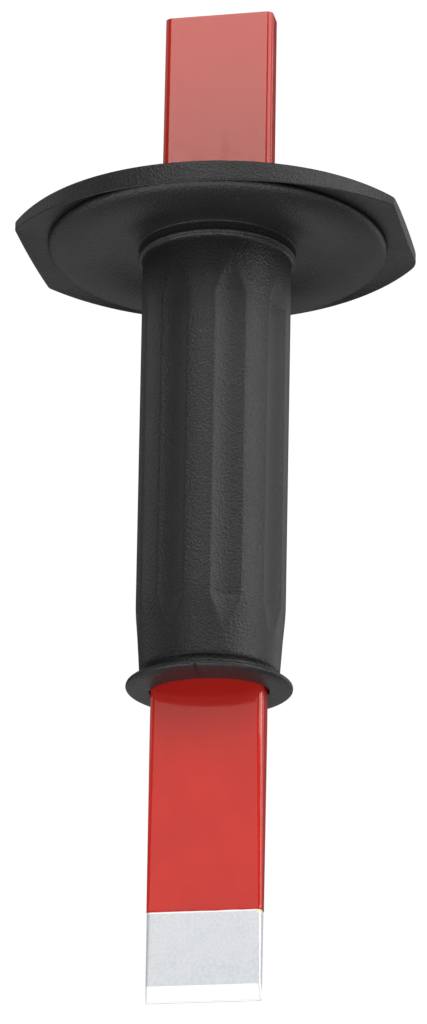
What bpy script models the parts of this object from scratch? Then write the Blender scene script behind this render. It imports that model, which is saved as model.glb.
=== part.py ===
"""Flat cold chisel with a moulded hand-guard grip, in metres, +Z up.

The cutting edge lies along X at the origin, the struck head is at the top, and -Y is the front.
The grip is a separate moulded sleeve that is pushed onto the bar, with its guard towards the head.
"""
import math

import bmesh
import bpy

MM = 0.001

# ---- chisel bar
BAR_LENGTH = 240.0 * MM
BAR_WIDTH = 26.0 * MM
BAR_THICKNESS = 7.0 * MM
BAR_CHAMFER = 1.1 * MM
HEAD_CHAMFER = 0.6 * MM
TAPER_LENGTH = 61.0 * MM
BEVEL_LENGTH = 3.6 * MM
BLADE_THICKNESS = 2.8 * MM
BLADE_CHAMFER = 0.45 * MM
EDGE_THICKNESS = 0.3 * MM
EDGE_CHAMFER = 0.1 * MM

# ---- grip: lip, tapered end and fluted length
SLEEVE_CLEARANCE = 0.3 * MM
LIP_ABOVE_TAPER = 10.4 * MM
LIP_THICKNESS = 2.8 * MM
LIP_REACH = 3.0 * MM
LIP_RIM_HEIGHT = 0.4 * MM
LIP_RIM_CHAMFER = 0.5 * MM
GROOVE_HEIGHT = 0.6 * MM
GRIP_END_WALL = 2.65 * MM
GRIP_END_LENGTH = 16.5 * MM
GRIP_SWELL = 1.1 * MM
GRIP_DRAFT = 0.35 * MM
GRIP_LENGTH = 103.8 * MM
MOUTH_RIM_HEIGHT = 1.0 * MM
MOUTH_FRONT_GAP = 7.0 * MM
MOUTH_SIDE_GAP = 1.3 * MM
MOUTH_HEIGHT = 5.0 * MM

# ---- flutes
FLUTE_COUNT = 8
FLUTE_DEPTH = 0.9 * MM
FLUTE_HOLLOW_RADIUS = 12.0 * MM
FLUTE_RUNOUT = 7.5 * MM
FLUTE_BELOW_GUARD = 8.0 * MM
FLUTE_ABOVE_LIP = 8.3 * MM
FLUTE_OVERRUN = 1.6

# ---- hand guard
DOME_SHOULDER = 3.0 * MM
DOME_STEP = 1.5 * MM
DOME_DISH = 0.8 * MM
NECK_FILLET = 2.6 * MM
GUARD_WIDTH = 89.4 * MM
GUARD_DEPTH = 81.0 * MM
GUARD_FLAT_LENGTH = 34.6 * MM
GUARD_CORNER_RADIUS = 1.5 * MM
BRIM_LEDGE = 0.5 * MM
BRIM_THICKNESS = 5.0 * MM
BRIM_RISE = 1.4 * MM
BRIM_DROOP = 1.6 * MM
CROWN_HEIGHT = 2.4 * MM
COLLAR_WALL = 3.2 * MM
COLLAR_HEIGHT = 3.6 * MM
COLLAR_CHAMFER = 0.8 * MM

ROUND_STEPS = 64
HOLLOW_STEPS = 48
ARC_STEPS = 14
FLUTE_END_STEPS = 6

# ---- heights and radii that follow from the sizes above
LIP_BOTTOM = TAPER_LENGTH + LIP_ABOVE_TAPER
LIP_TOP = LIP_BOTTOM + LIP_THICKNESS
DOME_BOTTOM = LIP_TOP + GRIP_LENGTH
BRIM_BOTTOM = DOME_BOTTOM + DOME_STEP
BRIM_TOP = BRIM_BOTTOM + BRIM_THICKNESS
SLOT_HALF_WIDTH = BAR_WIDTH / 2 + SLEEVE_CLEARANCE
GRIP_END_RADIUS = SLOT_HALF_WIDTH + GRIP_END_WALL
LIP_RADIUS = GRIP_END_RADIUS + LIP_REACH
GRIP_RADIUS = GRIP_END_RADIUS + GRIP_SWELL
NECK_RADIUS = GRIP_RADIUS + GRIP_DRAFT
DOME_RADIUS = GUARD_DEPTH / 2 - BRIM_LEDGE
SHOULDER_RADIUS = DOME_RADIUS - DOME_SHOULDER
CORNER_REACH = math.hypot(GUARD_WIDTH, GUARD_FLAT_LENGTH) / 2
COLLAR_RADIUS = SLOT_HALF_WIDTH + COLLAR_WALL
CROWN_RADIUS = COLLAR_RADIUS + CROWN_HEIGHT
COLLAR_TOP = BRIM_TOP + CROWN_HEIGHT + COLLAR_HEIGHT
OVERCUT = 2.0 * MM


def clear_scene():
    for old in list(bpy.data.objects):
        bpy.data.objects.remove(old, do_unlink=True)


def make_material(name, colour, roughness, metallic):
    material = bpy.data.materials.new(name)
    material.use_nodes = True
    shader = material.node_tree.nodes["Principled BSDF"]
    shader.inputs["Base Color"].default_value = (*colour, 1.0)
    shader.inputs["Roughness"].default_value = roughness
    shader.inputs["Metallic"].default_value = metallic
    return material


def add_object(name, bm, location=(0.0, 0.0, 0.0)):
    """Turn a bmesh in world metres into an object whose origin is at location."""
    bmesh.ops.recalc_face_normals(bm, faces=bm.faces)
    bmesh.ops.translate(bm, verts=bm.verts, vec=[-value for value in location])
    mesh = bpy.data.meshes.new(name)
    bm.to_mesh(mesh)
    bm.free()
    obj = bpy.data.objects.new(name, mesh)
    obj.location = location
    bpy.context.scene.collection.objects.link(obj)
    return obj


def add_cutter(name, bm):
    obj = add_object(name, bm)
    obj.hide_render = True
    obj.display_type = "WIRE"
    return obj


def boolean(obj, tool, operation):
    modifier = obj.modifiers.new(f"{operation}_{tool.name}", "BOOLEAN")
    modifier.operation = operation
    modifier.solver = "EXACT"
    modifier.object = tool


def ring(bm, points):
    """Add one closed loop of edges and return its edges."""
    verts = [bm.verts.new(point) for point in points]
    return [bm.edges.new((verts[i - 1], verts[i])) for i in range(len(verts))]


def loft(rings):
    """Bridge closed loops in order and cap both ends."""
    bm = bmesh.new()
    loops = [ring(bm, points) for points in rings]
    bmesh.ops.contextual_create(bm, geom=loops[0])
    for lower, upper in zip(loops, loops[1:]):
        bmesh.ops.bridge_loops(bm, edges=lower + upper)
    bmesh.ops.contextual_create(bm, geom=loops[-1])
    return bm


def lathe(profile, steps):
    """Turn a profile of (radius, height) about Z; it starts and ends on the axis."""
    bm = bmesh.new()
    verts = [bm.verts.new((radius, 0.0, height)) for radius, height in profile]
    edges = [bm.edges.new(pair) for pair in zip(verts, verts[1:])]
    bmesh.ops.spin(bm, geom=verts + edges, cent=(0, 0, 0), axis=(0, 0, 1),
                   angle=2 * math.pi, steps=steps, use_merge=True)
    bmesh.ops.remove_doubles(bm, verts=bm.verts, dist=0.01 * MM)
    return bm


def chamfered_section(width, thickness, chamfer, height):
    """The eight corners of a flat bar's section, anticlockwise seen from above."""
    x, y = width / 2, thickness / 2
    corner = [(x, y - chamfer), (x - chamfer, y)]
    other = [(-x + chamfer, y), (-x, y - chamfer)]
    outline = corner + other + [(-px, -py) for px, py in corner + other]
    return [(px, py, height) for px, py in outline]


# ---- chisel bar


def make_bar(material):
    """One forged flat bar: chamfered head, parallel shank, tapered blade and cutting bevel."""
    sections = [
        chamfered_section(BAR_WIDTH, EDGE_THICKNESS, EDGE_CHAMFER, 0.0),
        chamfered_section(BAR_WIDTH, BLADE_THICKNESS, BLADE_CHAMFER, BEVEL_LENGTH),
        chamfered_section(BAR_WIDTH, BAR_THICKNESS, BAR_CHAMFER, TAPER_LENGTH),
        chamfered_section(BAR_WIDTH, BAR_THICKNESS, BAR_CHAMFER, BAR_LENGTH - HEAD_CHAMFER),
        chamfered_section(BAR_WIDTH - 2 * HEAD_CHAMFER, BAR_THICKNESS - 2 * HEAD_CHAMFER,
                          BAR_CHAMFER, BAR_LENGTH),
    ]
    bar = add_object("chisel_bar", loft(sections))
    bar.data.materials.append(material)
    return bar


# ---- grip sleeve


def lip_profile():
    """The rolled lip, from the middle of its flat underside to its foot on the grip."""
    points = [(0.0, LIP_BOTTOM), (LIP_RADIUS - LIP_RIM_CHAMFER, LIP_BOTTOM)]
    crown = LIP_THICKNESS - LIP_RIM_HEIGHT
    for step in range(5):
        angle = math.radians(80) * step / 4
        points.append((GRIP_END_RADIUS + LIP_REACH * math.cos(angle),
                       LIP_BOTTOM + LIP_RIM_HEIGHT + crown * math.sin(angle)))
    return points


def grip_profile():
    """The tapered end and the drafted length, up to the fillet under the guard."""
    end_top = LIP_TOP + GRIP_END_LENGTH
    points = [(GRIP_END_RADIUS, LIP_TOP + GROOVE_HEIGHT),
              (GRIP_END_RADIUS + 0.55 * GRIP_SWELL, LIP_TOP + 0.6 * GRIP_END_LENGTH),
              (GRIP_END_RADIUS + 0.94 * GRIP_SWELL, LIP_TOP + 0.88 * GRIP_END_LENGTH),
              (GRIP_RADIUS, end_top)]
    for step in range(5):
        angle = math.radians(90) * step / 4
        points.append((NECK_RADIUS + NECK_FILLET * (1 - math.cos(angle)),
                       DOME_BOTTOM - NECK_FILLET * (1 - math.sin(angle))))
    return points


def dome_profile():
    """The dished underside, the rounded shoulder and a flat top hidden in the brim."""
    inner = NECK_RADIUS + NECK_FILLET
    points = []
    for step in range(1, 6):
        share = step / 6
        points.append((inner + (SHOULDER_RADIUS - inner) * share,
                       DOME_BOTTOM + DOME_DISH * math.sin(math.pi * share)))
    for step in range(6):
        angle = math.radians(90) * step / 5
        points.append((SHOULDER_RADIUS + DOME_SHOULDER * math.sin(angle),
                       DOME_BOTTOM + DOME_SHOULDER * (1 - math.cos(angle))))
    top = BRIM_BOTTOM + 0.5 * BRIM_THICKNESS
    return points + [(DOME_RADIUS, top), (0.0, top)]


def brim_profile():
    """The lens-shaped brim, thin at the tips, with the crown and the collar round the bar."""
    overhang = CORNER_REACH - DOME_RADIUS
    reach = CORNER_REACH + OVERCUT
    points = [(0.0, BRIM_BOTTOM), (DOME_RADIUS, BRIM_BOTTOM),
              (reach, BRIM_BOTTOM + BRIM_RISE * (overhang + OVERCUT) / overhang)]
    for step in range(5):
        radius = reach - (reach - DOME_RADIUS) * step / 4
        droop = BRIM_DROOP * ((radius - DOME_RADIUS) / overhang) ** 2
        points.append((radius, BRIM_TOP - droop))
    for step in range(1, 7):
        share = step / 6
        points.append((DOME_RADIUS + (CROWN_RADIUS - DOME_RADIUS) * share,
                       BRIM_TOP + CROWN_HEIGHT * (1 - math.cos(math.pi * share)) / 2))
    for step in range(1, 4):
        angle = math.radians(90) * step / 3
        points.append((CROWN_RADIUS - CROWN_HEIGHT * math.sin(angle),
                       BRIM_TOP + CROWN_HEIGHT + CROWN_HEIGHT * (1 - math.cos(angle))))
    points.append((COLLAR_RADIUS, COLLAR_TOP - COLLAR_CHAMFER))
    points.append((COLLAR_RADIUS - COLLAR_CHAMFER, COLLAR_TOP))
    return points + [(0.0, COLLAR_TOP)]


def guard_outline():
    """Two flats left and right, joined by a shallow arc at the front and one at the back."""
    half_width, half_depth, half_flat = GUARD_WIDTH / 2, GUARD_DEPTH / 2, GUARD_FLAT_LENGTH / 2
    rise = half_depth - half_flat
    radius = (half_width ** 2 + rise ** 2) / (2 * rise)
    spread = math.asin(half_width / radius)
    points = []
    for side in (1, -1):
        for step in range(ARC_STEPS + 1):
            angle = spread * (1 - 2 * step / ARC_STEPS)
            points.append((side * radius * math.sin(angle),
                           side * (half_depth - radius + radius * math.cos(angle))))
    return points


def make_guard_blank():
    """The prism that trims the brim to the guard's outline, with rounded corners."""
    heights = (DOME_BOTTOM - OVERCUT, COLLAR_TOP + OVERCUT)
    bm = loft([[(x, y, height) for x, y in guard_outline()] for height in heights])
    corners = []
    for edge in bm.edges:
        low, high = edge.verts
        upright = abs(low.co.z - high.co.z) > OVERCUT
        if upright and abs(abs(low.co.x) - GUARD_WIDTH / 2) < 0.01 * MM:
            corners.append(edge)
    bmesh.ops.bevel(bm, geom=corners, offset=GUARD_CORNER_RADIUS, segments=3, profile=0.5,
                    affect="EDGES")
    return add_cutter("guard_outline_tool", bm)


def make_flute_cutter(index):
    """A long roller with rounded ends, set so that its side dips into the grip."""
    low = LIP_TOP + FLUTE_ABOVE_LIP
    high = DOME_BOTTOM - FLUTE_BELOW_GUARD
    end_radius = (FLUTE_RUNOUT ** 2 + FLUTE_DEPTH ** 2) / (2 * FLUTE_DEPTH)
    upper_end = []
    for step in range(FLUTE_END_STEPS + 1):
        along = FLUTE_OVERRUN * FLUTE_RUNOUT * step / FLUTE_END_STEPS
        sink = end_radius - math.sqrt(end_radius ** 2 - along ** 2)
        upper_end.append((FLUTE_HOLLOW_RADIUS - sink, high - FLUTE_RUNOUT + along))
    lower_end = [(radius, low + high - height) for radius, height in reversed(upper_end)]
    profile = [(0.0, lower_end[0][1]), *lower_end, *upper_end, (0.0, upper_end[-1][1])]
    bm = lathe(profile, HOLLOW_STEPS)
    angle = 2 * math.pi * (index + 0.5) / FLUTE_COUNT - math.pi / 2
    reach = (GRIP_RADIUS + NECK_RADIUS) / 2 + FLUTE_HOLLOW_RADIUS - FLUTE_DEPTH
    bmesh.ops.translate(bm, verts=bm.verts, vec=(reach * math.cos(angle), reach * math.sin(angle), 0))
    return add_cutter(f"flute_tool_{index + 1}", bm)


def make_slot_cutter():
    """The straight slot that the bar passes through, one clearance larger all round."""
    thickness = BAR_THICKNESS + 2 * SLEEVE_CLEARANCE
    heights = (LIP_BOTTOM - OVERCUT, COLLAR_TOP + OVERCUT)
    sections = [chamfered_section(2 * SLOT_HALF_WIDTH, thickness, BAR_CHAMFER, height)
                for height in heights]
    return add_cutter("slot_tool", loft(sections))


def make_mouth_cutter():
    """The oval funnel in the lip, which narrows to the slot."""
    wide = (BAR_WIDTH / 2 + MOUTH_SIDE_GAP, BAR_THICKNESS / 2 + MOUTH_FRONT_GAP)
    narrow = (BAR_WIDTH / 2 - BAR_CHAMFER, BAR_THICKNESS / 2)
    rings = []
    for half_x, half_y, height in ((*wide, LIP_BOTTOM - OVERCUT),
                                   (*wide, LIP_BOTTOM + MOUTH_RIM_HEIGHT),
                                   (*narrow, LIP_BOTTOM + MOUTH_HEIGHT)):
        angles = [2 * math.pi * step / ROUND_STEPS for step in range(ROUND_STEPS)]
        rings.append([(half_x * math.cos(a), half_y * math.sin(a), height) for a in angles])
    return add_cutter("mouth_tool", loft(rings))


def make_grip(material):
    """One moulding: lip, fluted grip, dome and brim, with the bar's slot right through it."""
    brim = add_cutter("brim_tool", lathe(brim_profile(), ROUND_STEPS))
    boolean(brim, make_guard_blank(), "INTERSECT")
    body = lathe(lip_profile() + grip_profile() + dome_profile(), ROUND_STEPS)
    grip = add_object("guard_grip", body, location=(0.0, 0.0, LIP_BOTTOM))
    boolean(grip, brim, "UNION")
    for index in range(FLUTE_COUNT):
        boolean(grip, make_flute_cutter(index), "DIFFERENCE")
    boolean(grip, make_mouth_cutter(), "DIFFERENCE")
    boolean(grip, make_slot_cutter(), "DIFFERENCE")
    grip.data.materials.append(material)
    grip.data.shade_smooth()
    grip.data.set_sharp_from_angle(angle=math.radians(35))
    return grip


def main():
    clear_scene()
    red_steel = make_material("red_painted_steel", (0.55, 0.03, 0.025), 0.25, 0.0)
    black_rubber = make_material("black_moulded_rubber", (0.03, 0.03, 0.032), 0.6, 0.0)
    make_bar(red_steel)
    make_grip(black_rubber)


main()
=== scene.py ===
"""Looks for a flat cold chisel: a red painted bar with a bare ground tip, in a black hand-guard grip."""
import math

import bmesh
import bpy
import numpy as np
from mathutils import Matrix, Vector, noise


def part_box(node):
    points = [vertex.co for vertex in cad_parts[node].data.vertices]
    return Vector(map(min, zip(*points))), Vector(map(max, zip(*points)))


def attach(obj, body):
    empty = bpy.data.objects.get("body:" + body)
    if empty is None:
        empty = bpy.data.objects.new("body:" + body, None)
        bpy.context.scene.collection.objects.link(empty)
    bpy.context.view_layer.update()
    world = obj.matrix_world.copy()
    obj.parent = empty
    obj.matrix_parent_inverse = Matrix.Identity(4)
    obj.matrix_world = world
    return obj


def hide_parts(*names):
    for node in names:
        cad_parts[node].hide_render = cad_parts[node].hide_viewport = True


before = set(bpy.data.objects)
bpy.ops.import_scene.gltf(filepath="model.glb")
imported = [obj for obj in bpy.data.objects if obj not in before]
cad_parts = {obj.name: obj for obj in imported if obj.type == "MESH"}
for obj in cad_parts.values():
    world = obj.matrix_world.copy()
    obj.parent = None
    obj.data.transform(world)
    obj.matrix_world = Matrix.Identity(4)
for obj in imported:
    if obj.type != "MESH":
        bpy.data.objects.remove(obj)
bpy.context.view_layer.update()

MM = 0.001
BAR_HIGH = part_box("chisel_bar")[1]
GRIP_LOW, GRIP_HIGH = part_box("guard_grip")

# ---- bar
BAR_LENGTH = BAR_HIGH.z
HALF_WIDTH = BAR_HIGH.x
HALF_THICKNESS = BAR_HIGH.y
EDGE_ACROSS = 1.7 * MM
EDGE_DEEP = 1.2 * MM
HEAD_ROUNDING = 0.12 * MM
TAPER_LENGTH = 61.0 * MM
TAPER_BLEND = 3.5 * MM
BEVEL_LENGTH = 3.6 * MM
HALF_BLADE = 1.4 * MM
HALF_EDGE = 0.15 * MM
PAINT_LINE = 20.2 * MM
PAINT_WOBBLE = 0.13 * MM
PAINT_FILM = 0.09 * MM
PAINT_RIDGE = 0.05 * MM
PAINT_SETTLED = 2.4 * MM
PRIMER_PLACE = 12.4 * MM
# painted shade: from here up, the red paint is made darker on the head above the guard
HEAD_SHADE_LOW = 184 * MM
HEAD_SHADE_HIGH = 196 * MM

# ---- grip, lip and flutes
LIP_BOTTOM = GRIP_LOW.z
CRACK_ANGLE = math.radians(-88.7)
CRACK_HALF_ANGLE = math.radians(0.9)
CRACK_DEPTH = 1.1 * MM
CRACK_RISE = 0.5 * MM
# the lip's columns stand closer together round these angles
CROWDED_LIP_ANGLES = [math.radians(-94.5), CRACK_ANGLE]
SLOT_GAP = 0.3 * MM
SLOT_CHAMFER = 1.1 * MM
FLUTE_COUNT = 8
FLUTE_DEPTH = 0.9 * MM
FLUTE_HOLLOW_RADIUS = 12.0 * MM
FLUTE_RUNOUT = 8.0 * MM
FLUTE_RUNOUT_POWER = 1.6
FLUTE_LOW = 81.6 * MM
FLUTE_HIGH = 171.0 * MM
CREASE_SOFTNESS = 0.1 * MM
# (height, radius) points of the plain grip, in millimetres
GRIP_PROFILE = [(75.6, 15.93), (76.8, 15.99), (79.2, 16.15), (84.0, 16.5), (88.8, 16.93), (91.2, 17.07),
                (176.0, 17.4)]
MOUTH_HALF_WIDTH = 13.55 * MM
MOUTH_HALF_DEPTH = 10.2 * MM

# ---- hand guard
GUARD_HALF_WIDTH = GRIP_HIGH.x
GUARD_HALF_DEPTH = GRIP_HIGH.y
GUARD_HALF_FLAT = 17.3 * MM
DOME_RADIUS = 40.0 * MM
DOME_BOTTOM = 177.7 * MM
SHOULDER_ACROSS = 7.2 * MM
SHOULDER_RISE = 2.6 * MM
CORNER_RADIUS = math.hypot(GUARD_HALF_WIDTH, GUARD_HALF_FLAT)
CORNER_ANGLE = math.atan2(GUARD_HALF_FLAT, GUARD_HALF_WIDTH)
RIGHT_BACK, LEFT_BACK, LEFT_FRONT, RIGHT_FRONT = range(4)
# one for each corner, in the order of their names above
CORNER_SOFTNESS = (1.9 * MM, 0.5 * MM, 0.5 * MM, 0.6 * MM)
BRIM_TOP = 184.5 * MM
BRIM_DROOP = 1.6 * MM
BRIM_ROUNDING = 0.25 * MM
BRIM_FOOT_RADIUS = 39.15 * MM
BRIM_FOOT = 181.1 * MM
WALL_FOOT = 179.5 * MM
WALL_FOOT_RISE = 1.35 * MM
WALL_RISE_START = 40.5 * MM
WALL_RISE_LENGTH = 7.5 * MM
CROWN_RADIUS = 36.0 * MM
CROWN_FOOT = BRIM_TOP + BRIM_ROUNDING
COLLAR_RADIUS = 16.5 * MM
COLLAR_TOP = GRIP_HIGH.z
COLLAR_FOOT = 186.9 * MM
COLLAR_FILLET = 1.6 * MM
COLLAR_ROUNDING = 0.8 * MM

COLUMNS = 360

# ---- studio and camera, in metres and degrees; the lens is in millimetres
LIGHT_DISTANCE = 1.7
LIGHT_AIM_HEIGHT = 0.12
LIGHT_POWER_PER_AREA = 4.0
FLOOR_RADIUS = 8.8
FLOOR_HEIGHT = -3.0
BACKDROP_RADIUS = 9.4
CAMERA_AZIMUTH = 11.559
CAMERA_ELEVATION = -20.304
CAMERA_ROLL = 1.059
CAMERA_DISTANCE = 0.9747
CAMERA_LENS = 149.65664
CAMERA_AIM_HEIGHT = 114.85 * MM
CAMERA_AIM_RIGHT = 0.229 * MM


# ---- shader helpers


class Value:
    """A number from a shader node that takes part in Python arithmetic."""

    def __init__(self, shader, socket):
        self.shader = shader
        self.socket = socket

    def math(self, operation, *operands):
        return self.shader.node("ShaderNodeMath", {"operation": operation}, dict(enumerate(operands)))

    def __add__(self, other):
        return self.math("ADD", self, other)

    __radd__ = __add__

    def __sub__(self, other):
        return self.math("SUBTRACT", self, other)

    def __rsub__(self, other):
        return self.math("SUBTRACT", other, self)

    def __mul__(self, other):
        return self.math("MULTIPLY", self, other)

    __rmul__ = __mul__

    def __abs__(self):
        return self.math("ABSOLUTE", self)

    def clamp(self):
        """The number held between 0 and 1."""
        return self.math("MAXIMUM", self.math("MINIMUM", self, 1.0), 0.0)

    def step(self, low, high):
        """0 at low and 1 at high, smooth in between and level beyond; low may be the larger."""
        limits = (low, high, 0.0, 1.0) if low < high else (high, low, 1.0, 0.0)
        return self.shader.node("ShaderNodeMapRange", {"interpolation_type": "SMOOTHSTEP"},
                                dict(enumerate((self, *limits))))


def pick(sockets, key):
    """A socket by its number, its identifier or its name."""
    if isinstance(key, int):
        return sockets[key]
    return next(socket for socket in sockets if key in (socket.identifier, socket.name))


class Finish:
    """One node material, built through node() and the expressions above."""

    def __init__(self, name):
        self.material = bpy.data.materials.new(name)
        self.material.use_nodes = True
        self.tree = self.material.node_tree
        self.surface = self.tree.nodes["Principled BSDF"]
        self.place = self.node("ShaderNodeTexCoord", output="Object")

    def set_socket(self, sockets, key, value):
        socket = pick(sockets, key)
        if isinstance(value, Value):
            self.tree.links.new(value.socket, socket)
        else:
            socket.default_value = value

    def node(self, kind, settings=None, inputs=None, output=0):
        """Add a node: its settings first, then its sockets; returns one of its outputs."""
        made = self.tree.nodes.new(kind)
        for key, value in (settings or {}).items():
            setattr(made, key, value)
        for key, value in (inputs or {}).items():
            self.set_socket(made.inputs, key, value)
        return Value(self, pick(made.outputs, output))

    def axis(self, name):
        return self.node("ShaderNodeSeparateXYZ", inputs={0: self.place}, output=name)

    def noise(self, size, detail=2.0, roughness=0.5, stretch=(1.0, 1.0, 1.0)):
        """Noise from 0 to 1 with features of this size in metres; a stretch below 1 draws them out."""
        vector = self.node("ShaderNodeVectorMath", {"operation": "MULTIPLY"}, {0: self.place, 1: stretch})
        return self.node("ShaderNodeTexNoise", None,
                         {"Vector": vector, "Scale": 1.0 / size, "Detail": detail, "Roughness": roughness})

    def cells(self, size, feature="SMOOTH_F1"):
        """Distance to the nearest of many scattered points, as a share of this size in metres."""
        return self.node("ShaderNodeTexVoronoi", {"feature": feature},
                         {"Vector": self.place, "Scale": 1.0 / size})

    def blend(self, share, first, second):
        """A colour between first, at share 0, and second, at share 1."""
        return self.node("ShaderNodeMix", {"data_type": "RGBA"},
                         {"Factor_Float": share, "A_Color": first, "B_Color": second}, "Result_Color")

    def bump(self, height, distance, under=None):
        """A normal raised by height times distance, on top of the one under it."""
        inputs = {"Height": height, "Distance": distance, "Strength": 1.0}
        if under:
            inputs["Normal"] = under
        return self.node("ShaderNodeBump", None, inputs)

    def finish(self, **sockets):
        for key, value in sockets.items():
            self.set_socket(self.surface.inputs, key.replace("_", " "), value)
        return self.material


def colour(red, green, blue):
    return (red, green, blue, 1.0)


# ---- finishes


def red_gloss_paint():
    paint = Finish("red_gloss_paint")
    height = paint.axis("Z")
    peel = paint.noise(2.6 * MM, 2.0)
    ripple = paint.noise(9.0 * MM, 2.0, stretch=(1.0, 1.0, 0.45))
    grain = paint.noise(0.35 * MM, 2.0)
    cloud = paint.noise(14.0 * MM, 3.0)
    dust = paint.cells(2.4 * MM, "F1").step(0.055, 0.02)
    blade = paint.blend(cloud.step(0.35, 0.7), colour(0.43, 0.017, 0.012), colour(0.47, 0.019, 0.013))
    # painted shade: the head above the guard gets a darker red than the blade
    head_painted_shade = height.step(HEAD_SHADE_LOW, HEAD_SHADE_HIGH)
    base = paint.blend(head_painted_shade, blade, colour(0.40, 0.018, 0.012))
    worn = paint.blend(dust * 0.35, base, colour(0.30, 0.010, 0.010))
    # painted shade: a darker red in patches along the paint's lower edge, standing for the shade of the
    # paint's ridge
    edge = height.step(PAINT_LINE + 0.75 * MM, PAINT_LINE + 0.15 * MM)
    with_edge_shade = paint.blend(edge * paint.noise(1.2 * MM).step(0.35, 0.6), worn, colour(0.34, 0.008, 0.010))
    normal = paint.bump(ripple, 0.035 * MM)
    normal = paint.bump(peel, 0.014 * MM, normal)
    normal = paint.bump(grain + dust * 2.0, 0.0012 * MM, normal)
    smear = paint.noise(4.0 * MM, 3.0, 0.6, stretch=(1.0, 1.0, 0.5)).step(0.5, 0.7)
    return paint.finish(Base_Color=with_edge_shade, Roughness=0.06 + 0.06 * paint.noise(5.0 * MM) + 0.06 * smear,
                        Normal=normal, IOR=1.5, Specular_Tint=colour(1.0, 0.94, 0.87))


def bare_ground_steel():
    steel = Finish("bare_ground_steel")
    height = steel.axis("Z")
    mottle = steel.noise(0.55 * MM, 3.0, 0.6)
    cloud = steel.noise(5.0 * MM, 2.0)
    scratches = steel.noise(0.16 * MM, 2.0, stretch=(0.25, 1.0, 1.0))
    pits = steel.cells(2.9 * MM, "F1").step(0.06, 0.025)
    # painted highlight: the cutting bevel and a thin line just under the paint's edge are painted near
    # white; the bevel is also a little smoother
    bevel = height.step(BEVEL_LENGTH + 0.12 * MM, BEVEL_LENGTH - 0.12 * MM)
    paint_line_highlight = height.step(PAINT_LINE - 0.45 * MM, PAINT_LINE - 0.1 * MM)
    ground = steel.blend(mottle.step(0.3, 0.7), colour(0.58, 0.60, 0.615), colour(0.67, 0.69, 0.705))
    clouded = steel.blend(cloud.step(0.3, 0.75) * 0.35, ground, colour(0.70, 0.70, 0.76))
    pitted = steel.blend(pits * 0.5, clouded, colour(0.45, 0.47, 0.48))
    # painted highlight laid on the bevel and under the paint's edge
    with_painted_highlight = steel.blend((bevel + paint_line_highlight).clamp() * 0.9, pitted, colour(0.93, 0.93, 0.92))
    side = abs(steel.axis("X") - PRIMER_PLACE).step(0.9 * MM, 0.4 * MM)
    primer = side * abs(height - (PAINT_LINE - 0.3 * MM)).step(0.45 * MM, 0.2 * MM)
    fleck = steel.blend(primer * steel.noise(0.8 * MM).step(0.3, 0.5), with_painted_highlight, colour(0.72, 0.66, 0.36))
    base = steel.blend(height.step(0.5 * MM, 0.15 * MM) * 0.75, fleck, colour(0.42, 0.44, 0.45))
    normal = steel.bump(mottle, 0.006 * MM)
    normal = steel.bump(scratches, 0.004 * MM, normal)
    return steel.finish(Base_Color=base, Metallic=0.55 - 0.5 * primer,
                        Roughness=0.36 + 0.12 * mottle - 0.06 * bevel, Normal=normal)


def black_soft_plastic():
    plastic = Finish("black_soft_plastic")
    pebble = plastic.cells(0.50 * MM)
    fine = plastic.noise(0.30 * MM, 3.0, 0.6)
    flow = plastic.noise(7.0 * MM, 3.0, 0.55)
    scuff = plastic.noise(1.5 * MM, 4.0, 0.65, stretch=(1.0, 1.0, 0.5))
    specks = plastic.cells(3.7 * MM, "F1").step(0.035, 0.012)
    dusty = (scuff.step(0.56, 0.72) * 0.3 + flow.step(0.5, 0.8) * 0.3).clamp()
    skin = plastic.blend(dusty, colour(0.009, 0.0092, 0.0096), colour(0.015, 0.0153, 0.016))
    grained = plastic.blend(fine.step(0.35, 0.8) * 0.4, skin, colour(0.021, 0.0215, 0.0222))
    base = plastic.blend(specks * 0.75, grained, colour(0.30, 0.31, 0.31))
    normal = plastic.bump(pebble, 0.11 * MM)
    normal = plastic.bump(fine, 0.045 * MM, normal)
    return plastic.finish(Base_Color=base, Roughness=0.36 + 0.12 * flow, Normal=normal, IOR=1.39)


def pale_floor():
    floor = Finish("pale_floor")
    tone = floor.blend(floor.noise(0.5, 2.0) * 0.5, colour(0.84, 0.84, 0.84), colour(0.88, 0.88, 0.88))
    return floor.finish(Base_Color=tone, Roughness=0.9, Emission_Color=tone, Emission_Strength=0.75)


def white_backdrop():
    paper = Finish("white_backdrop")
    return paper.finish(Base_Color=colour(0.0, 0.0, 0.0), Roughness=1.0, Specular_IOR_Level=0.0,
                        Emission_Color=colour(1.0, 1.0, 1.0), Emission_Strength=1.02)


# ---- mesh helpers


def add_piece(name, bm, finish, body=None):
    """A smooth object made from the mesh; with a body, it rides that body."""
    bmesh.ops.recalc_face_normals(bm, faces=bm.faces)
    mesh = bpy.data.meshes.new(name)
    bm.to_mesh(mesh)
    bm.free()
    mesh.shade_smooth()
    obj = bpy.data.objects.new(name, mesh)
    bpy.context.scene.collection.objects.link(obj)
    mesh.materials.append(finish)
    if body:
        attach(obj, body)
    return obj


def skin(rows, closed):
    """A mesh over equal rings of points; open rows get a cap at each end."""
    bm = bmesh.new()
    rings = [[bm.verts.new(point) for point in row] for row in rows]
    pairs = zip(rings, rings[1:] + rings[:1]) if closed else zip(rings, rings[1:])
    for low, high in pairs:
        for i in range(len(low)):
            bm.faces.new((low[i - 1], low[i], high[i], high[i - 1]))
    if not closed:
        bm.faces.new(rings[0][::-1])
        bm.faces.new(rings[-1])
    return bm


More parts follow.
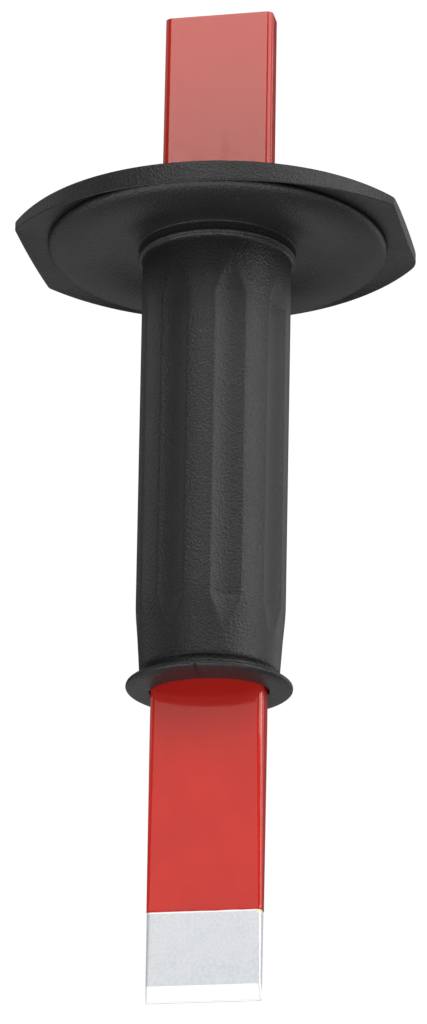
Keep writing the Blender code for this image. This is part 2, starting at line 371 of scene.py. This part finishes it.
def through(points, steps):
    """A smooth curve through the points, with this many steps in each span."""
    ends = [points[0], *points, points[-1]]
    curve = []
    for before, start, end, after in zip(ends, ends[1:], ends[2:], ends[3:]):
        for step in range(steps):
            t = step / steps
            curve.append(tuple(
                0.5 * (2 * b + (c - a) * t + (2 * a - 5 * b + 4 * c - d) * t ** 2
                       + (3 * b - a - 3 * c + d) * t ** 3)
                for a, b, c, d in zip(before, start, end, after)))
    return curve + [points[-1]]


def arc(centre, radius, start, end, steps):
    """Points of an arc in the radius and height plane, angles in degrees."""
    angles = [math.radians(start + (end - start) * step / steps) for step in range(steps + 1)]
    return [(centre[0] + radius * math.cos(a), centre[1] + radius * math.sin(a)) for a in angles]


# ---- chisel bar


def half_thickness(height):
    """Half the bar's thickness: cutting bevel, straight taper, soft bend, parallel shank."""
    if height <= BEVEL_LENGTH:
        return HALF_EDGE + (HALF_BLADE - HALF_EDGE) * height / BEVEL_LENGTH
    slope = (HALF_THICKNESS - HALF_BLADE) / (TAPER_LENGTH - BEVEL_LENGTH)
    taper = HALF_BLADE + slope * (height - BEVEL_LENGTH)
    overlap = max(0.0, slope * TAPER_BLEND - abs(taper - HALF_THICKNESS))
    return min(taper, HALF_THICKNESS) - overlap ** 2 / (4 * slope * TAPER_BLEND)


def bar_section(height, inset=0.0, ridge=0.0):
    """The bar's (x, y) outline at a height; inset shrinks it all round and ridge thickens it."""
    share = min(1.0, max(0.0, (height - BEVEL_LENGTH) / (TAPER_LENGTH - BEVEL_LENGTH)))
    half_y = half_thickness(height)
    full = 0.4 + 0.6 * share
    across = EDGE_ACROSS * full
    deep = min(EDGE_DEEP * full, 0.6 * half_y)
    x, y = HALF_WIDTH - inset, half_y - inset + ridge
    turns = [math.radians(9 * step) for step in range(11)]
    corner = [(x - across * (1 - math.cos(a)), y - deep * (1 - math.sin(a))) for a in turns]
    flat = x - across
    along = [flat - 0.2 * MM, *(flat * k / 4 for k in (3, 2, 1, 0, -1, -2, -3)), 0.2 * MM - flat]
    upper = corner + [(px, y) for px in along] + [(-px, py) for px, py in corner[::-1]]
    return [Vector(point) for point in upper + [(-px, -py) for px, py in upper]]


def paint_edge(point):
    """The height of the paint's lower edge, which wanders a little round the bar."""
    side = 2.0 if point.y > 0 else 0.0
    coarse = noise.noise(Vector((point.x * 320, side, 0.3)))
    fine = noise.noise(Vector((point.x * 1100, side, 5.7)))
    return PAINT_LINE + PAINT_WOBBLE * (0.7 * coarse + 0.45 * fine)


def painted_rows():
    """The paint's lower edge, the tapered blade, the shank and the struck head."""
    rows = []
    film = [(0.0, PAINT_FILM + 0.05 * MM, 0.0), (0.0, PAINT_FILM * 0.6, 0.0), (0.03 * MM, 0.02 * MM, 0.0),
            (0.12 * MM, 0.0, PAINT_RIDGE), (0.30 * MM, 0.0, PAINT_RIDGE),
            (0.6 * MM, 0.0, 0.3 * PAINT_RIDGE), (1.2 * MM, 0.0, 0.0), (PAINT_SETTLED, 0.0, 0.0)]
    for above, inset, ridge in film:
        section = bar_section(PAINT_LINE + above, inset, ridge)
        fade = max(0.0, 1.0 - above / PAINT_SETTLED)
        rows.append([(p.x, p.y, PAINT_LINE + above + fade * (paint_edge(p) - PAINT_LINE)) for p in section])
    straight = np.arange(PAINT_LINE + 5 * MM, TAPER_LENGTH - 5 * MM, 5 * MM).tolist()
    bend = np.arange(TAPER_LENGTH - 5 * MM, TAPER_LENGTH + 5 * MM, 0.5 * MM).tolist()
    shank = np.arange(TAPER_LENGTH + 8 * MM, BAR_LENGTH - 4 * MM, 6 * MM).tolist()
    for height in straight + bend + shank + [BAR_LENGTH - 1.2 * MM]:
        rows.append([(p.x, p.y, height) for p in bar_section(height)])
    for degrees in (0, 22.5, 45, 67.5, 90):
        turn = math.radians(degrees)
        inset = HEAD_ROUNDING * (1 - math.cos(turn))
        height = BAR_LENGTH - HEAD_ROUNDING * (1 - math.sin(turn))
        rows.append([(p.x, p.y, height) for p in bar_section(height, inset)])
    rows.append([(p.x, p.y, BAR_LENGTH) for p in bar_section(BAR_LENGTH, HEAD_ROUNDING + 0.35 * MM)])
    return rows


def tip_rows():
    """The cutting bevel and the bare end of the taper, which runs up inside the paint."""
    heights = [0.0, 0.25 * MM, 0.5 * BEVEL_LENGTH, BEVEL_LENGTH - 0.2 * MM, BEVEL_LENGTH - 0.04 * MM,
               BEVEL_LENGTH + 0.04 * MM, BEVEL_LENGTH + 0.25 * MM]
    heights += np.linspace(BEVEL_LENGTH + 1.5 * MM, PAINT_LINE + 2.0 * MM, 8).tolist()
    return [[(p.x, p.y, height) for p in bar_section(height, PAINT_FILM * min(1.0, height / BEVEL_LENGTH))]
            for height in heights]


def make_bar():
    bar = add_piece("painted_bar", skin(painted_rows(), False), red_gloss_paint(), "chisel")
    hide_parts("chisel_bar")
    add_piece("ground_tip", skin(tip_rows(), False), bare_ground_steel(), "chisel")


# ---- grip and guard


def soft_min(first, second, softness):
    """The smaller of the two, blended where they are closer than the softness."""
    overlap = np.maximum(softness - np.abs(first - second), 0.0)
    return np.minimum(first, second) - overlap ** 2 / (4 * softness)


def crowd(angles, centres, width, squeeze):
    """Draw the columns within width of each centre closer to it."""
    moved = angles.copy()
    for centre in centres:
        offset = (angles - centre + math.pi) % (2 * math.pi) - math.pi
        u = np.clip(offset / width, -1, 1)
        near = np.abs(offset) < width
        moved[near] = centre + width * (u * (squeeze + (1 - squeeze) * u ** 2))[near]
    return moved


ANGLES = -math.pi / 2 + 2 * math.pi * np.arange(COLUMNS) / COLUMNS
CORNER_ANGLES = [CORNER_ANGLE, math.pi - CORNER_ANGLE, math.pi + CORNER_ANGLE, -CORNER_ANGLE]
BRIM_ANGLES = crowd(ANGLES, CORNER_ANGLES, math.radians(9), 0.35)


def guard_reach(angles):
    """Distance from the axis to the guard's outline: two flats and two arcs, softened at the corners."""
    across, along = np.abs(np.cos(angles)), np.abs(np.sin(angles))
    rise = GUARD_HALF_DEPTH - GUARD_HALF_FLAT
    radius = (GUARD_HALF_WIDTH ** 2 + rise ** 2) / (2 * rise)
    back = radius - GUARD_HALF_DEPTH
    arc_reach = -back * along + np.sqrt((back * along) ** 2 + radius ** 2 - back ** 2)
    flat_reach = GUARD_HALF_WIDTH / np.maximum(across, 0.05)
    left = np.cos(angles) < 0
    corner = np.where(np.sin(angles) < 0, np.where(left, LEFT_FRONT, RIGHT_FRONT),
                      np.where(left, LEFT_BACK, RIGHT_BACK))
    return soft_min(flat_reach, arc_reach, np.array(CORNER_SOFTNESS)[corner])


def slot_reach(gap):
    """Distance from the axis to the bar's outline plus a gap, at each column."""
    across, along = np.abs(np.cos(ANGLES)), np.abs(np.sin(ANGLES))
    half_x, half_y = HALF_WIDTH + gap, HALF_THICKNESS + gap
    side = half_x / np.maximum(across, 1e-6)
    face = half_y / np.maximum(along, 1e-6)
    chamfer = (half_x + half_y - SLOT_CHAMFER) / (across + along)
    return soft_min(soft_min(side, face, 0.1 * MM), chamfer, 0.1 * MM)


def grip_radius(height):
    """The plain grip's radius: a tapered end, then a slight draft up to the neck."""
    heights, radii = np.array(GRIP_PROFILE).T * MM
    return float(np.interp(height, heights, radii))


def fluted(radius, height):
    """The radius at each column, with the flutes' hollows cut in."""
    beyond = max(0.0, FLUTE_LOW + FLUTE_RUNOUT - height, height - FLUTE_HIGH + FLUTE_RUNOUT)
    if beyond >= FLUTE_RUNOUT:
        return np.full(COLUMNS, radius)
    depth = FLUTE_DEPTH * (1 - beyond / FLUTE_RUNOUT) ** FLUTE_RUNOUT_POWER
    centre = radius + FLUTE_HOLLOW_RADIUS - depth
    pitch = 2 * math.pi / FLUTE_COUNT
    offset = (ANGLES + math.pi / 2) % pitch - pitch / 2
    inside = np.maximum(FLUTE_HOLLOW_RADIUS ** 2 - (centre * np.sin(offset)) ** 2, 0.0)
    near_side = centre * np.cos(offset) - np.sqrt(inside)
    return soft_min(np.full(COLUMNS, radius), near_side, CREASE_SOFTNESS)


def lay(reach, angles, height):
    """One ring of points at these distances and angles; height is a number or an array."""
    heights = np.broadcast_to(height, reach.shape)
    return np.stack([reach * np.cos(angles), reach * np.sin(angles), heights], 1)


def turned(profile):
    """Round rings, one for each (radius, height) point of the profile."""
    return [lay(np.full(COLUMNS, radius), ANGLES, height) for radius, height in profile]


def lip_rows():
    """The lip's underside, its rolled rim and the groove above it, with a small crack at the front."""
    angles = crowd(ANGLES, CROWDED_LIP_ANGLES, math.radians(2.6), 0.45)
    rim = through([(14.6 * MM, LIP_BOTTOM), (16.2 * MM, LIP_BOTTOM), (17.5 * MM, 71.52 * MM),
                   (18.4 * MM, 71.8 * MM), (18.86 * MM, 72.15 * MM), (18.93 * MM, 72.6 * MM),
                   (18.7 * MM, 73.0 * MM), (18.1 * MM, 73.25 * MM), (16.6 * MM, 73.4 * MM),
                   (15.7 * MM, 73.6 * MM), (15.38 * MM, 74.0 * MM), (15.38 * MM, 74.7 * MM),
                   (15.6 * MM, 75.2 * MM), (15.93 * MM, 75.6 * MM)], 3)
    crack = np.exp(-((ANGLES - CRACK_ANGLE) / CRACK_HALF_ANGLE) ** 2)
    rows = []
    for radius, height in rim[:-1]:
        on_rim = min(1.0, max(0.0, (radius - 16.4 * MM) / (1.2 * MM)))
        under = max(0.0, 1.0 - (height - LIP_BOTTOM) / (1.2 * MM))
        reach = radius - on_rim * min(1.0, 1.5 * under) * CRACK_DEPTH * crack
        rows.append(lay(reach, angles, height + under * CRACK_RISE * crack))
    return rows


def grip_rows():
    """The tapered end and the fluted length, up to where the neck begins."""
    end = np.arange(75.6, 80.6, 0.9) * MM
    run_in = np.arange(81.0, 91.0, 0.35) * MM
    middle = np.arange(91.0, 161.5, 2.5) * MM
    run_out = np.arange(161.5, 171.2, 0.35) * MM
    top = np.arange(171.2, 174.6, 1.1) * MM
    heights = np.concatenate([end, run_in, middle, run_out, top]).tolist()
    return [lay(fluted(grip_radius(height), height), ANGLES, height) for height in heights]


def dome_rows():
    """The neck ring, the hollow beside it, the dome's swelling underside, its shoulder and crease."""
    hollow = (18.65 * MM, 179.75 * MM)
    neck = through([(17.4 * MM, 174.8 * MM), (17.45 * MM, 176.1 * MM), (17.75 * MM, 176.75 * MM),
                    (18.3 * MM, 177.05 * MM), (18.5 * MM, 177.5 * MM), (18.4 * MM, 178.1 * MM),
                    (18.42 * MM, 179.5 * MM), hollow], 4)
    dish = through([hollow, (21.0 * MM, 179.65 * MM), (23.8 * MM, 179.1 * MM),
                    (27.0 * MM, 178.25 * MM), (29.8 * MM, 177.8 * MM), (31.9 * MM, DOME_BOTTOM)], 4)
    turns = [math.radians(-90 + 7.5 * step) for step in range(1, 13)]
    centre = DOME_RADIUS - SHOULDER_ACROSS - 0.3 * MM
    shoulder = [(centre + SHOULDER_ACROSS * math.cos(a), DOME_BOTTOM + SHOULDER_RISE * (1 + math.sin(a)))
                for a in turns]
    crease = [(39.35 * MM, 181.0 * MM), (39.0 * MM, 181.15 * MM)]
    return turned(neck[:-1] + dish + shoulder + crease)


def brim_rows():
    """The brim's underside, wall and drooping top, from the dome out to the outline and back."""
    reach = guard_reach(BRIM_ANGLES)
    wall_low = WALL_FOOT + WALL_FOOT_RISE * np.clip((reach - WALL_RISE_START) / WALL_RISE_LENGTH, 0, 1)
    droop = ((reach - DOME_RADIUS) / (CORNER_RADIUS - DOME_RADIUS)) ** 2
    wall_high = BRIM_TOP - BRIM_DROOP * droop
    rows = []
    for share in (0.0, 0.15, 0.4, 0.7, 0.92):
        angles = ANGLES + (BRIM_ANGLES - ANGLES) * share
        radii = BRIM_FOOT_RADIUS + (reach - BRIM_ROUNDING - BRIM_FOOT_RADIUS) * share
        rows.append(lay(radii, angles, BRIM_FOOT + (wall_low - BRIM_FOOT) * share ** 1.5))
    for degrees in (-90, -60, -30, 0):
        turn = math.radians(degrees)
        rows.append(lay(reach - BRIM_ROUNDING * (1 - math.cos(turn)), BRIM_ANGLES,
                        wall_low + BRIM_ROUNDING * (1 + math.sin(turn))))
    for share in (0.15, 0.5, 0.85):
        rows.append(lay(reach, BRIM_ANGLES, wall_low + (wall_high - wall_low) * share))
    for degrees in (0, 30, 60, 90):
        turn = math.radians(degrees)
        rows.append(lay(reach - BRIM_ROUNDING * (1 - math.cos(turn)), BRIM_ANGLES,
                        wall_high - BRIM_ROUNDING * (1 - math.sin(turn))))
    for share in (0.9, 0.7, 0.45, 0.2):
        angles = ANGLES + (BRIM_ANGLES - ANGLES) * share
        radii = CROWN_RADIUS + (reach - CROWN_RADIUS) * share
        rows.append(lay(radii, angles, wall_high + (CROWN_FOOT - wall_high) * (1 - share)))
    return rows


def crown_rows():
    """The low crown and the collar round the bar, on top of the guard."""
    crown = through([(CROWN_RADIUS, CROWN_FOOT), (32.0 * MM, 185.2 * MM), (27.0 * MM, 185.95 * MM),
                     (22.5 * MM, 186.7 * MM), (19.6 * MM, 186.95 * MM)], 5)
    fillet = arc((COLLAR_RADIUS + COLLAR_FILLET, COLLAR_FOOT + COLLAR_FILLET), COLLAR_FILLET, 270, 180, 6)
    edge = arc((COLLAR_RADIUS - COLLAR_ROUNDING, COLLAR_TOP - COLLAR_ROUNDING), COLLAR_ROUNDING, 0, 90, 6)
    inner = [(15.2 * MM, COLLAR_TOP), (14.6 * MM, COLLAR_TOP)]
    return turned(crown + fillet + edge + inner)


def slot_rows():
    """The slot's rounded top edge, its walls and the oval mouth in the lip."""
    narrow = slot_reach(SLOT_GAP)
    rows = [lay(slot_reach(SLOT_GAP + 0.35 * MM), ANGLES, COLLAR_TOP),
            lay(slot_reach(SLOT_GAP + 0.1 * MM), ANGLES, COLLAR_TOP - 0.1 * MM),
            lay(narrow, ANGLES, COLLAR_TOP - 0.4 * MM)]
    walls = (COLLAR_TOP - 2 * MM, 150 * MM, 110 * MM, LIP_BOTTOM + 7 * MM)
    rows += [lay(narrow, ANGLES, height) for height in walls]
    oval = 1 / np.sqrt((np.cos(ANGLES) / MOUTH_HALF_WIDTH) ** 2 + (np.sin(ANGLES) / MOUTH_HALF_DEPTH) ** 2)
    ragged = np.array([noise.noise(Vector((math.cos(a) * 9, math.sin(a) * 9, 2.5))) for a in ANGLES])
    oval = np.maximum(oval + 0.12 * MM * ragged, narrow + 0.05 * MM)
    flare = ((0.15, 5.6), (0.6, 4.4), (0.9, 2.6), (1.0, 0.7), (1.0, 0.3))
    for share, above in flare:
        rows.append(lay(narrow + (oval - narrow) * share, ANGLES, LIP_BOTTOM + above * MM))
    rows.append(lay(oval + 0.08 * MM, ANGLES, LIP_BOTTOM + 0.08 * MM))
    rows.append(lay(oval + 0.3 * MM, ANGLES, LIP_BOTTOM))
    return rows


def make_grip():
    rows = lip_rows() + grip_rows() + dome_rows() + brim_rows() + crown_rows() + slot_rows()
    grip = add_piece("moulded_grip", skin(rows, True), black_soft_plastic(), "grip")
    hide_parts("guard_grip")


# ---- studio


def direction(azimuth, elevation):
    """Unit vector from the object; azimuth 0 is the front (-Y), positive towards +X, in degrees."""
    a, e = math.radians(azimuth), math.radians(elevation)
    return Vector((math.sin(a) * math.cos(e), -math.cos(a) * math.cos(e), math.sin(e)))


def softbox(name, azimuth, elevation, wide, tall, brightness):
    """A soft rectangular light that looks at the object; wide and tall are the angles it fills."""
    light = bpy.data.lights.new(name, "AREA")
    light.shape = "RECTANGLE"
    light.size = 2 * LIGHT_DISTANCE * math.tan(math.radians(wide / 2))
    light.size_y = 2 * LIGHT_DISTANCE * math.tan(math.radians(tall / 2))
    light.energy = brightness * LIGHT_POWER_PER_AREA * light.size * light.size_y
    obj = bpy.data.objects.new(name, light)
    bpy.context.scene.collection.objects.link(obj)
    away = direction(azimuth, elevation)
    obj.location = Vector((0.0, 0.0, LIGHT_AIM_HEIGHT)) + away * LIGHT_DISTANCE
    obj.rotation_euler = away.to_track_quat("Z", "Y").to_euler()
    obj.visible_camera = False


def make_lights():
    softbox("front_key", -5, 41, 32, 30, 3.3)
    softbox("front_middle", -12, 13, 44, 24, 0.8)
    softbox("right_key", 58, 31, 46, 34, 2.9)
    softbox("right_strip", 78, 6, 28, 26, 3.2)
    softbox("left_rim", -92, 27, 56, 28, 0.6)
    softbox("low_front_card", -24, -28, 56, 24, 1.0)
    softbox("low_card", -8, -64, 110, 46, 2.2)
    softbox("back_right", 128, 12, 64, 60, 0.7)
    softbox("low_back_card", 186, -22, 100, 34, 0.35)
    world = bpy.data.worlds.new("studio")
    bpy.context.scene.world = world
    world.use_nodes = True
    world.node_tree.nodes["Background"].inputs["Color"].default_value = colour(0.08, 0.08, 0.08)
    world.node_tree.nodes["Background"].inputs["Strength"].default_value = 1.0


def make_surroundings():
    bm = bmesh.new()
    bmesh.ops.create_circle(bm, cap_ends=True, segments=96, radius=FLOOR_RADIUS)
    floor = add_piece("pale_floor", bm, pale_floor())
    floor.location.z = FLOOR_HEIGHT
    bm = bmesh.new()
    bmesh.ops.create_uvsphere(bm, u_segments=64, v_segments=32, radius=BACKDROP_RADIUS)
    backdrop = add_piece("white_backdrop", bm, white_backdrop())
    for ray in ("visible_glossy", "visible_diffuse", "visible_transmission", "visible_shadow"):
        setattr(backdrop, ray, False)
    floor.visible_glossy = False
    floor.visible_diffuse = False


def make_camera():
    azimuth = math.radians(CAMERA_AZIMUTH)
    roll = math.radians(CAMERA_ROLL)
    back = direction(CAMERA_AZIMUTH, CAMERA_ELEVATION)
    right = Vector((math.cos(azimuth), math.sin(azimuth), 0.0))
    up = back.cross(right)
    turned_right = right * math.cos(roll) + up * math.sin(roll)
    turned_up = up * math.cos(roll) - right * math.sin(roll)
    data = bpy.data.cameras.new("camera")
    data.sensor_width = 36.0
    data.lens = CAMERA_LENS
    data.clip_end = 30.0
    camera = bpy.data.objects.new("camera", data)
    bpy.context.scene.collection.objects.link(camera)
    aim = Vector((0.0, 0.0, CAMERA_AIM_HEIGHT)) + right * CAMERA_AIM_RIGHT
    axes = Matrix((turned_right, turned_up, back)).transposed().to_4x4()
    camera.matrix_world = Matrix.Translation(aim + back * CAMERA_DISTANCE) @ axes
    bpy.context.scene.camera = camera


make_bar()
make_grip()
make_surroundings()
make_lights()
make_camera()
bpy.context.scene.view_settings.view_transform = "Standard"
